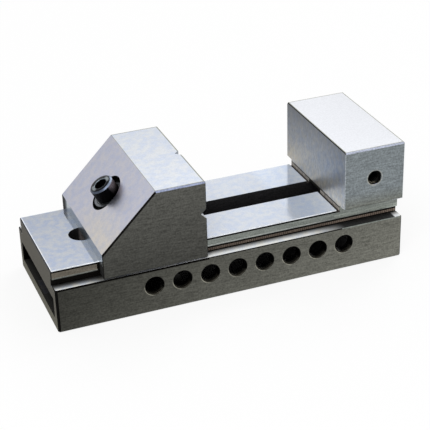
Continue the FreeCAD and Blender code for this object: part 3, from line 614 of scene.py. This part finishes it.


# The same tool steel on the sliding jaw, painted light and shade by which way each face looks: bright
# top, softer lilac grey slant, dark sides and underside, lighter upwards and darker to the far side
def makeJawSteel():
    material, tree, place = newMaterial("hardened tool steel, surface ground jaw")
    normal = addNode(tree, "TexCoord", output="Normal")
    plan, finish = slidingJaw, slidingJaw["finish"]
    run = {name: along(tree, place, *ends) for name, ends in plan["runs"].items()}
    mirrored = addNode(tree, "VectorMath", {0: normal}, operation="ABSOLUTE")
    up = facing(tree, normal, (0, 0, 1))
    backward = facing(tree, normal, (-1, 0, 0))
    forward = facing(tree, normal, (1, 0, 0))
    slant = facing(tree, normal, (-1, 0, 1), *chamferCone)
    bright = addNode(tree, "Math", {0: up, 1: slant}, operation="MAXIMUM")
    sideChamfer = facing(tree, mirrored, (0, 1, 1), *chamferCone)
    edgeChamfer = facing(tree, mirrored, (1, 1, 0), *chamferCone)
    frontChamfer = facing(tree, normal, (1, 0, 1), *chamferCone)
    slantChamfer = facing(tree, mirrored, (0.5, 0.707, 0.5), 0.95, 0.985)
    back, face, side, bed = plan["back"], plan["face"], plan["halfWidth"], plan["bed"]
    outer = insideBox(tree, place, (back - 1, 1.1 - side, 20), (face + 5, side - 1.1, 70))
    topInset = insideBox(tree, place, (plan["slantTo"] + 0.3, 1.3 - side, 60), (face - 0.9, side - 1.3, 70),
                         soft=0.12)
    halfVee, (veeLow, veeHigh) = plan["halfVee"], plan["levelVee"]
    veeGap = insideBox(tree, place, (face - 3.6, -halfVee, 20), (face + 1, halfVee, 70))
    levelGap = insideBox(tree, place, (face - 3.6, -40, veeLow), (face + 1, 40, veeHigh))
    inVee = addNode(tree, "Math", {0: veeGap, 1: levelGap}, operation="MAXIMUM")
    inVee = allBut(tree, inVee, forward)

    # frame of the slant: along it, across it and square to it
    lengthwise, squarewise = (
        addNode(tree, "VectorMath", {0: place, 1: Vector(way).normalized()}, output="Value",
                operation="DOT_PRODUCT")
        for way in ((1, 0, 1), (-1, 0, 1))
    )
    crosswise = addNode(tree, "SeparateXYZ", {0: place}, output=1)
    slantPlace = addNode(tree, "CombineXYZ", {0: lengthwise, 1: crosswise, 2: squarewise})
    low, high, half = plan["pocketLow"], plan["pocketHigh"], plan["pocketHalf"]
    level = plan["slantLevel"]
    # the pocket is painted black as shade, and the lit part of its floor is painted light
    pocket = insideBox(tree, slantPlace, (low, -half, 30), (high, half, level - 0.06), soft=0.02)
    floorLevel = level - plan["pocketDepth"]
    floorReach = aroundAxis(tree, slantPlace, [part * mm for part in plan["floorMiddle"]], (0, 0, 1))[1]
    pocketFloor = allOf(
        tree,
        slant,
        insideBox(tree, slantPlace, (low, -half, floorLevel - 0.2),
                  (plan["floorTo"], half, floorLevel + 0.2)),
        between(tree, floorReach, 0, plan["floorRadius"], 0.15),
    )

    # painted shade: the back of the skirt is painted black below the bed, and the back's far part dark
    skirtBack = insideBox(tree, place, (back - 1, -side - 1, 20), (back + 1, side + 1, bed - 0.15))
    skirtBack = allOf(tree, skirtBack, run["skirtBack"])
    # the guide under the jaw is painted black as shade
    guide = plan["halfGuide"]
    guide = insideBox(tree, place, (back + 0.5, -guide, 20), (face - 0.5, guide, bed + 0.4))
    guide = allBut(tree, guide, backward)
    ground = layFinishes(tree, finish["side"], (
        (1.0, {"shade": run["sideHeight"]}),
        (slant, finish["slant"]),
        (allOf(tree, slant, run["slantLow"], run["slantNear"]), finish["slantLow"]),
        (up, finish["top"]),
        (bright, {"shade": run["topWidth"]}),
        (allBut(tree, up, topInset), finish["topLine"]),
        (backward, finish["back"]),
        (allOf(tree, backward, run["backFar"]), finish["backFar"]),
        (allOf(tree, backward, skirtBack), finish["skirtBack"]),
        (forward, finish["face"]),
        (facing(tree, normal, (0, 0, -1), 0.6, 0.8), finish["under"]),
        # chamfers painted by which way they look: light ones a painted highlight, dark ones painted shade
        (sideChamfer, finish["topEdge"]),
        (slantChamfer, finish["slantEdge"]),
        (allBut(tree, edgeChamfer, outer), finish["edge"]),
        (allBut(tree, frontChamfer, levelGap), finish["topLine"]),
        (allOf(tree, veeGap, edgeChamfer), finish["vee"]),
        (allOf(tree, levelGap, frontChamfer), finish["vee"]),
        (pocket, finish["inside"]),
        (pocketFloor, finish["pocketFloor"]),
        (guide, finish["inside"]),
    ))
    smooth = addNode(tree, "Math", {0: bright, 1: inVee}, operation="MAXIMUM")
    pattern, height = grindPattern(tree, place, mirrored, smooth, plan["patches"])
    finishSteel(tree, ground, pattern, height, grindMarks["bump"])
    return material


# Clamp screw, measured along its axis from the centre of the spherical seat, in millimetres
clampScrew = {
    "headTop": -0.1,
    "underHead": -8.08,
    "headRadius": 6.5,
    "rimChamfer": 0.8,
    "knurlTeeth": 44,
    "knurlDepth": 0.2,
    "knurlFrom": -7.2,
    "knurlTo": -1.9,
    "socketAcross": 6.0,
    "socketDepth": 4.0,
    "sinkRadius": 3.7,
    "sinkDepth": 0.35,
    "shankRadius": 4.0,
    "threadStart": -35.1,
    "threadRoot": 3.36,
    "threadRunOut": 1.6,
    "tip": -63.1,
    "tipChamfer": 0.8,
    "pitch": 1.25,
    "rowsPerPitch": 8,
    "pointsPerTooth": 4,
    "finish": {
        "oxide": {"colour": "0B0B0C", "rough": 0.4, "metal": 1.0},
        "headHighlight": {"colour": "857A7D", "rough": 0.45, "metal": 0.6},
        "crown": {"colour": "0C0E13", "rough": 0.35},
        "crownGlint": {"colour": "8A9194", "rough": 0.45},
        "rim": {"colour": "4B5260", "rough": 0.42},
        "rimGlint": {"colour": "7F8A9C"},
        "sink": {"colour": "747D83", "rough": 0.4},
        "socket": {"colour": "050505", "rough": 0.5},
        "rimWay": ((0.78, -0.4, 0.45), 2.0, 5.5),  # the side of the rim that catches the light
        "headHighlightWay": ((0.711, -0.57, 0.41), 4.9, 6.6),  # the side of the head where a highlight is painted
        "headHighlightHeight": (-6.8, -3.0),
        "wedge": (0.82, 0.97),  # cosines from up the slope between which a turned end begins to shine
        "bands": {  # mm from the screw's axis where each ring of the head's end begins, and where it is full
            "rim": (5.55, 5.75),
            "glint": (5.4, 4.6),
            "sink": (3.8, 3.72),
            "socket": (3.5, 3.4),
        },
        "grain": 0.9,  # mm, the blotches of a worn oxide coat
        "bump": 0.08,
    },
}


# Alloy steel with black oxide: a nearly black satin skin, with painted highlights on the rim, on the sink
# round the socket, in two wedges of the end and on one side of the head, and the socket painted black as
# shade
def makeOxideSteel(axis, pivot):
    material, tree, place = newMaterial("alloy steel, black oxide")
    normal = addNode(tree, "TexCoord", output="Normal")
    top, finish = clampScrew["headTop"], clampScrew["finish"]
    fromPivot, radius = aroundAxis(tree, place, pivot, axis)
    band = {
        name: addNode(tree, "MapRange", {0: radius, 1: start * mm, 2: full * mm, 3: 0.0, 4: 1.0})
        for name, (start, full) in finish["bands"].items()
    }
    onHead = along(tree, fromPivot, axis, top - 1.2, top - 0.9)
    crown = allOf(tree, facing(tree, normal, axis, 0.85, 0.95), onHead)
    sloped = allOf(tree, facing(tree, normal, axis, 0.3, 0.5), onHead)
    rim = allOf(tree, sloped, band["rim"])
    # a painted highlight on one side of the head
    headHighlight = along(tree, fromPivot, *finish["headHighlightWay"])
    headHighlight = allOf(tree, headHighlight, along(tree, fromPivot, axis, *finish["headHighlightHeight"]))

    # a painted highlight: a turned end shines in two wedges, to both sides of its middle
    upslope = axis.cross(Vector((0, 1, 0)))
    reach = addNode(tree, "VectorMath", {0: fromPivot, 1: upslope}, output="Value", operation="DOT_PRODUCT")
    share = addNode(tree, "Math", {0: reach, 1: radius}, operation="DIVIDE")
    share = addNode(tree, "Math", {0: share}, operation="ABSOLUTE")
    dull, shining = finish["wedge"]
    wedge = addNode(tree, "MapRange", {0: share, 1: dull, 2: shining, 3: 0.0, 4: 1.0})
    coat = layFinishes(tree, finish["oxide"], (
        (headHighlight, finish["headHighlight"]),
        (crown, finish["crown"]),
        (allOf(tree, crown, wedge, band["glint"]), finish["crownGlint"]),
        (rim, finish["rim"]),
        (allOf(tree, rim, along(tree, fromPivot, *finish["rimWay"])), finish["rimGlint"]),
        (allOf(tree, sloped, band["sink"]), finish["sink"]),
        (allOf(tree, onHead, band["socket"]), finish["socket"]),
    ))
    grain = addNode(tree, "TexNoise", {"Vector": place, "Scale": 1 / (finish["grain"] * mm), "Detail": 2.0})
    blotch = addNode(tree, "MapRange", {0: grain, 1: 0.3, 2: 0.7, 3: 0.75, 4: 1.25})
    finishSteel(tree, coat, blotch, grain, finish["bump"])
    return material


# Alloy steel turned on a lathe: fine rings about the axis, which the tapped holes have too
turnedFinish = {
    "washer": {"colour": "6F7277", "rough": 0.4, "metal": 1.0},
    "washerRing": {"colour": "1A1A1A"},
    # the nut is painted dark, as painted shade inside the body
    "nut": {"colour": "262625", "rough": 0.4, "metal": 1.0},
    # the tapped thread is painted dark as shade inside the hole, and light at the mouth's lower side
    "tapped": {"colour": "1B1A17", "rough": 0.5, "metal": 0.8},
    "tappedMouth": {"colour": "B5AD9B"},
    "ring": 0.5,  # mm between turning marks, drawn coarser than the real 0.1 mm
    "specks": 1200.0,  # per metre, 0.8 mm each, drawn coarser than the real grain so that they show
    "mouthOut": ((0, 1, 0), 34.0, 35.2),  # where the painted light on the thread at the mouth lies, outwards and down
    "mouthDown": ((-0.55, 0, -0.84), 1.8, 3.0),
    "bump": 0.05,
    "washerBand": (6.825, 7.225, 0.075),  # mm from the axis where its dark ring lies, and how soft it ends
}


def makeTurnedSteel(name, key, axis, pivot):
    material, tree, place = newMaterial(name)
    fromPivot, radius = aroundAxis(tree, place, pivot, axis)
    phase = addNode(tree, "Math", {0: radius, 1: 2 * math.pi / (turnedFinish["ring"] * mm)},
                    operation="MULTIPLY")
    turns = addNode(tree, "Math", {0: phase}, operation="SINE")
    grain = addNode(tree, "TexNoise", {"Vector": place, "Scale": turnedFinish["specks"]})
    rings = addNode(tree, "MapRange", {0: turns, 1: -1.0, 2: 1.0, 3: 0.9, 4: 1.06})
    specks = addNode(tree, "MapRange", {0: grain, 1: 0.3, 2: 0.7, 3: 0.9, 4: 1.1})
    layers = []
    if key == "washer":
        layers.append((between(tree, radius, *turnedFinish["washerBand"]), turnedFinish["washerRing"]))
    if key == "tapped":
        folded = addNode(tree, "VectorMath", {0: place}, operation="ABSOLUTE")
        mouth = along(tree, folded, *turnedFinish["mouthOut"])
        lower = along(tree, fromPivot, *turnedFinish["mouthDown"])
        layers.append((allOf(tree, mouth, lower), turnedFinish["tappedMouth"]))
    ground = layFinishes(tree, turnedFinish[key], layers)
    finishSteel(tree, ground, allOf(tree, rings, specks), turns, turnedFinish["bump"])
    return material


# Makes an object from rings of points, each ring a list of the same length, closed round
def meshFromRings(name, rings, capStart=False, capEnd=False):
    build = bmesh.new()
    rows = [[build.verts.new(point) for point in ring] for ring in rings]
    count = len(rows[0])
    for lower, upper in zip(rows, rows[1:]):
        for i in range(count):
            following = (i + 1) % count
            build.faces.new((lower[i], lower[following], upper[following], upper[i]))
    if capStart:
        build.faces.new(list(reversed(rows[0])))
    if capEnd:
        build.faces.new(rows[-1])
    bmesh.ops.recalc_face_normals(build, faces=build.faces)
    mesh = bpy.data.meshes.new(name)
    build.to_mesh(mesh)
    build.free()
    piece = bpy.data.objects.new(name, mesh)
    bpy.context.scene.collection.objects.link(piece)
    return piece


def shadeSmooth(piece, angle):
    for face in piece.data.polygons:
        face.use_smooth = True
    piece.data.set_sharp_from_angle(angle=math.radians(angle))


# Height of a V thread at one turn angle and place along the axis: 0 at the root, 1 at the crest
def threadHeight(place, turn, pitch):
    phase = (place / pitch - turn / (2 * math.pi)) % 1.0
    flank = 1.0 - abs(2.0 * phase - 1.0)
    return min(max(flank * 1.25 - 0.125, 0.0), 1.0)


def ringAt(place, radiusOf, count):
    points = []
    for i in range(count):
        turn = 2 * math.pi * i / count
        radius = radiusOf(turn)
        points.append((radius * math.cos(turn) * mm, radius * math.sin(turn) * mm, place * mm))
    return points


def makeScrew():
    shape = clampScrew
    count = shape["knurlTeeth"] * shape["pointsPerTooth"]
    head, tip, top = shape["headRadius"], shape["tip"], shape["headTop"]
    flat = shape["socketAcross"] / 2

    def plain(radius):
        return lambda turn: radius

    def knurled(turn):
        return head - shape["knurlDepth"] * (0.5 + 0.5 * math.cos(shape["knurlTeeth"] * turn))

    def hexagon(turn):
        sixth = math.pi / 3
        return flat / math.cos((turn + sixth / 2) % sixth - sixth / 2)

    def threaded(place):
        # the thread fades out towards the plain shank and is cut off by the tip's chamfer
        depth = shape["shankRadius"] - shape["threadRoot"]
        fade = min(max((shape["threadStart"] - place) / shape["threadRunOut"], 0.0), 1.0)
        limit = shape["shankRadius"] - max(shape["tipChamfer"] - (place - tip), 0.0)

        def radius(turn):
            height = threadHeight(place, turn, shape["pitch"])
            return min(shape["shankRadius"] - depth * fade * (1.0 - height), limit)
        return radius

    rowStep = shape["pitch"] / shape["rowsPerPitch"]
    rows = int((shape["threadStart"] - tip) / rowStep)
    rings = [ringAt(tip + row * rowStep, threaded(tip + row * rowStep), count) for row in range(rows + 1)]
    underHead, shank = shape["underHead"], shape["shankRadius"]
    sink, socketFloor = shape["sinkRadius"], top - shape["socketDepth"]
    skin = head - 0.03  # the plain parts of the head lie just below the knurl's crests
    rim = head - shape["rimChamfer"]
    profile = [
        (shape["threadStart"] + 0.4, plain(shank)),
        (underHead, plain(shank)),
        (underHead, plain(head - 0.35)),
        (underHead + 0.3, plain(skin)),
        (shape["knurlFrom"] - 0.25, plain(skin + 0.01)),
        (shape["knurlFrom"], knurled),
        (shape["knurlTo"], knurled),
        (shape["knurlTo"] + 0.3, plain(skin)),
        (top - shape["rimChamfer"], plain(skin)),
        (top - 0.07, plain(rim + 0.04)),
        (top, plain(rim - 0.08)),
        (top, plain(sink)),
        (top - shape["sinkDepth"] * 0.5, plain(sink - 0.2)),
        (top - shape["sinkDepth"], hexagon),
        (socketFloor, hexagon),
        (socketFloor - 0.3, plain(1.6)),
        (socketFloor - 0.7, plain(0.3)),
    ]
    rings += [ringAt(place, radiusOf, count) for place, radiusOf in profile]
    screw = meshFromRings("socket_cap_screw", rings, capStart=True, capEnd=True)
    shadeSmooth(screw, 32)
    axis = Vector(joints["screw_turn"]["axis"]).normalized()
    pivot = Vector(joints["screw_turn"]["pos_m"])
    turn = Vector((0, 0, 1)).rotation_difference(axis).to_matrix().to_4x4()
    screw.data.transform(Matrix.Translation(pivot) @ turn)
    screw.data.materials.append(makeOxideSteel(axis, pivot))
    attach(screw, "screw")
    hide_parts("lock_screw")
    return axis, pivot


screwAxis, seatCentre = makeScrew()
print("stage: clamp screw")

# Thread of the work-stop holes: the solid's wall is at the core diameter, so the ridges stand on it
stopThread = {
    "mouth": 36.0,  # distance of the thread's start from the middle plane
    "length": 14.0,
    "root": 3.43,
    "crest": 3.14,
    "pitch": 1.25,
    "points": 40,
    "rowsPerPitch": 8,
}


def makeStopThread(name, side):
    shape = stopThread
    middleX, middleZ = viseBody["stopHole"]
    rowStep = shape["pitch"] / shape["rowsPerPitch"]
    rows = int(shape["length"] / rowStep)
    rings = []
    for row in range(rows + 1):
        depth = row * rowStep
        fade = max(min(depth / shape["pitch"], (shape["length"] - depth) / shape["pitch"], 1.0), 0.0)
        ring = []
        for i in range(shape["points"]):
            turn = 2 * math.pi * i / shape["points"]
            ridge = threadHeight(depth, turn, shape["pitch"]) * fade
            radius = shape["root"] - (shape["root"] - shape["crest"]) * ridge
            ring.append((
                (middleX + radius * math.cos(turn)) * mm,
                side * (shape["mouth"] - depth) * mm,
                (middleZ + radius * math.sin(turn)) * mm,
            ))
        rings.append(ring)
    thread = meshFromRings(name, rings)
    shadeSmooth(thread, 60)
    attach(thread, "base")
    return thread


stopX, stopZ = viseBody["stopHole"]
stopCentre = Vector((stopX * mm, 0, stopZ * mm))
tappedSteel = makeTurnedSteel("tool steel, tapped", "tapped", Vector((0, 1, 0)), stopCentre)
for threadName, threadSide in (("near_stop_thread", -1), ("far_stop_thread", 1)):
    makeStopThread(threadName, threadSide).data.materials.append(tappedSteel)
print("stage: stop hole threads")


def dress(nodeName, material):
    piece = nodes[nodeName]
    if not piece.material_slots:
        piece.data.materials.append(None)
    for holder in piece.material_slots:
        holder.link = "OBJECT"
        holder.material = material


dress("vise_body", makeBodySteel())
dress("sliding_jaw", makeJawSteel())
dress("spherical_washer", makeTurnedSteel("alloy steel, turned washer", "washer", screwAxis, seatCentre))
# the nut's dark tone is painted shade
dress("cross_nut", makeTurnedSteel("alloy steel, turned and blackened nut", "nut", screwAxis, seatCentre))
print("stage: steel finishes")

# Studio: a pale floor in a white room. The camera, and metal that mirrors it, see the same white.
studio = {
    "floorSize": 4.0,  # metres
    "floorColour": "F7F7F7",
    "floorLift": 0.85,  # share of plain white in what is seen of the floor; the rest keeps the shadow
    "ambient": 0.68,
    "lampAim": (0, 0, 0.03),
    "lamps": (  # name, place and width in metres, power in watts
        ("key", (-0.7, -0.9, 1.5), 0.9, 11.0),
        ("fill", (1.1, 0.9, 1.4), 1.1, 9.0),
    ),
}


# 1 for the camera, and for what metal and glass show of the room; 0 for the light that falls on the vise
def seenWhite(tree):
    rays = addNode(tree, "LightPath").node.outputs
    total = addNode(tree, "Math", {0: rays["Is Camera Ray"], 1: rays["Is Glossy Ray"]}, operation="ADD")
    return addNode(tree, "Math", {0: total, 1: rays["Is Transmission Ray"]}, operation="ADD", use_clamp=True)


def makeStudio():
    scene = bpy.context.scene
    scene.view_settings.view_transform = "Standard"
    world = bpy.data.worlds.new("white room")
    scene.world = world
    world.use_nodes = True
    tree = world.node_tree
    tree.nodes.clear()
    shown = addNode(tree, "Background", {0: (1, 1, 1, 1), 1: 1.0})
    ambient = addNode(tree, "Background", {0: (1, 1, 1, 1), 1: studio["ambient"]})
    room = addNode(tree, "MixShader", {0: seenWhite(tree), 1: ambient, 2: shown})
    addNode(tree, "OutputWorld", {0: room})

    # matt white paper, lifted to plain white but not under the vise, where no light falls
    material, tree, place = newMaterial("matt studio paper")
    paper = addNode(tree, "BsdfDiffuse", {0: linearColour(studio["floorColour"])})
    white = addNode(tree, "Emission", {0: (1, 1, 1, 1), 1: 1.0})
    lift = addNode(tree, "Math", {0: seenWhite(tree), 1: studio["floorLift"]}, operation="MULTIPLY")
    far, wide = viseBody["halfLength"] - 1, viseBody["halfWidth"] - 1
    lift = allBut(tree, lift, insideBox(tree, place, (-far, -wide, -1), (far, wide, 1), soft=0.5))
    seen = addNode(tree, "MixShader", {0: lift, 1: paper, 2: white})
    addNode(tree, "OutputMaterial", {0: seen})
    half = studio["floorSize"] / 2
    mesh = bpy.data.meshes.new("studio_floor")
    corners = [(-half, -half, 0), (half, -half, 0), (half, half, 0), (-half, half, 0)]
    mesh.from_pydata(corners, [], [(0, 1, 2, 3)])
    mesh.materials.append(material)
    floor = bpy.data.objects.new("studio_floor", mesh)
    floor.location.z = -0.2 * mm  # just clear of the vise's foot
    scene.collection.objects.link(floor)

    for name, spot, width, power in studio["lamps"]:
        lamp = bpy.data.lights.new(name, "AREA")
        lamp.shape = "DISK"
        lamp.size = width
        lamp.energy = power
        holder = bpy.data.objects.new(name, lamp)
        holder.location = spot
        holder.rotation_mode = "QUATERNION"
        holder.rotation_quaternion = (Vector(studio["lampAim"]) - Vector(spot)).to_track_quat("-Z", "Y")
        scene.collection.objects.link(holder)


makeStudio()
print("stage: studio")
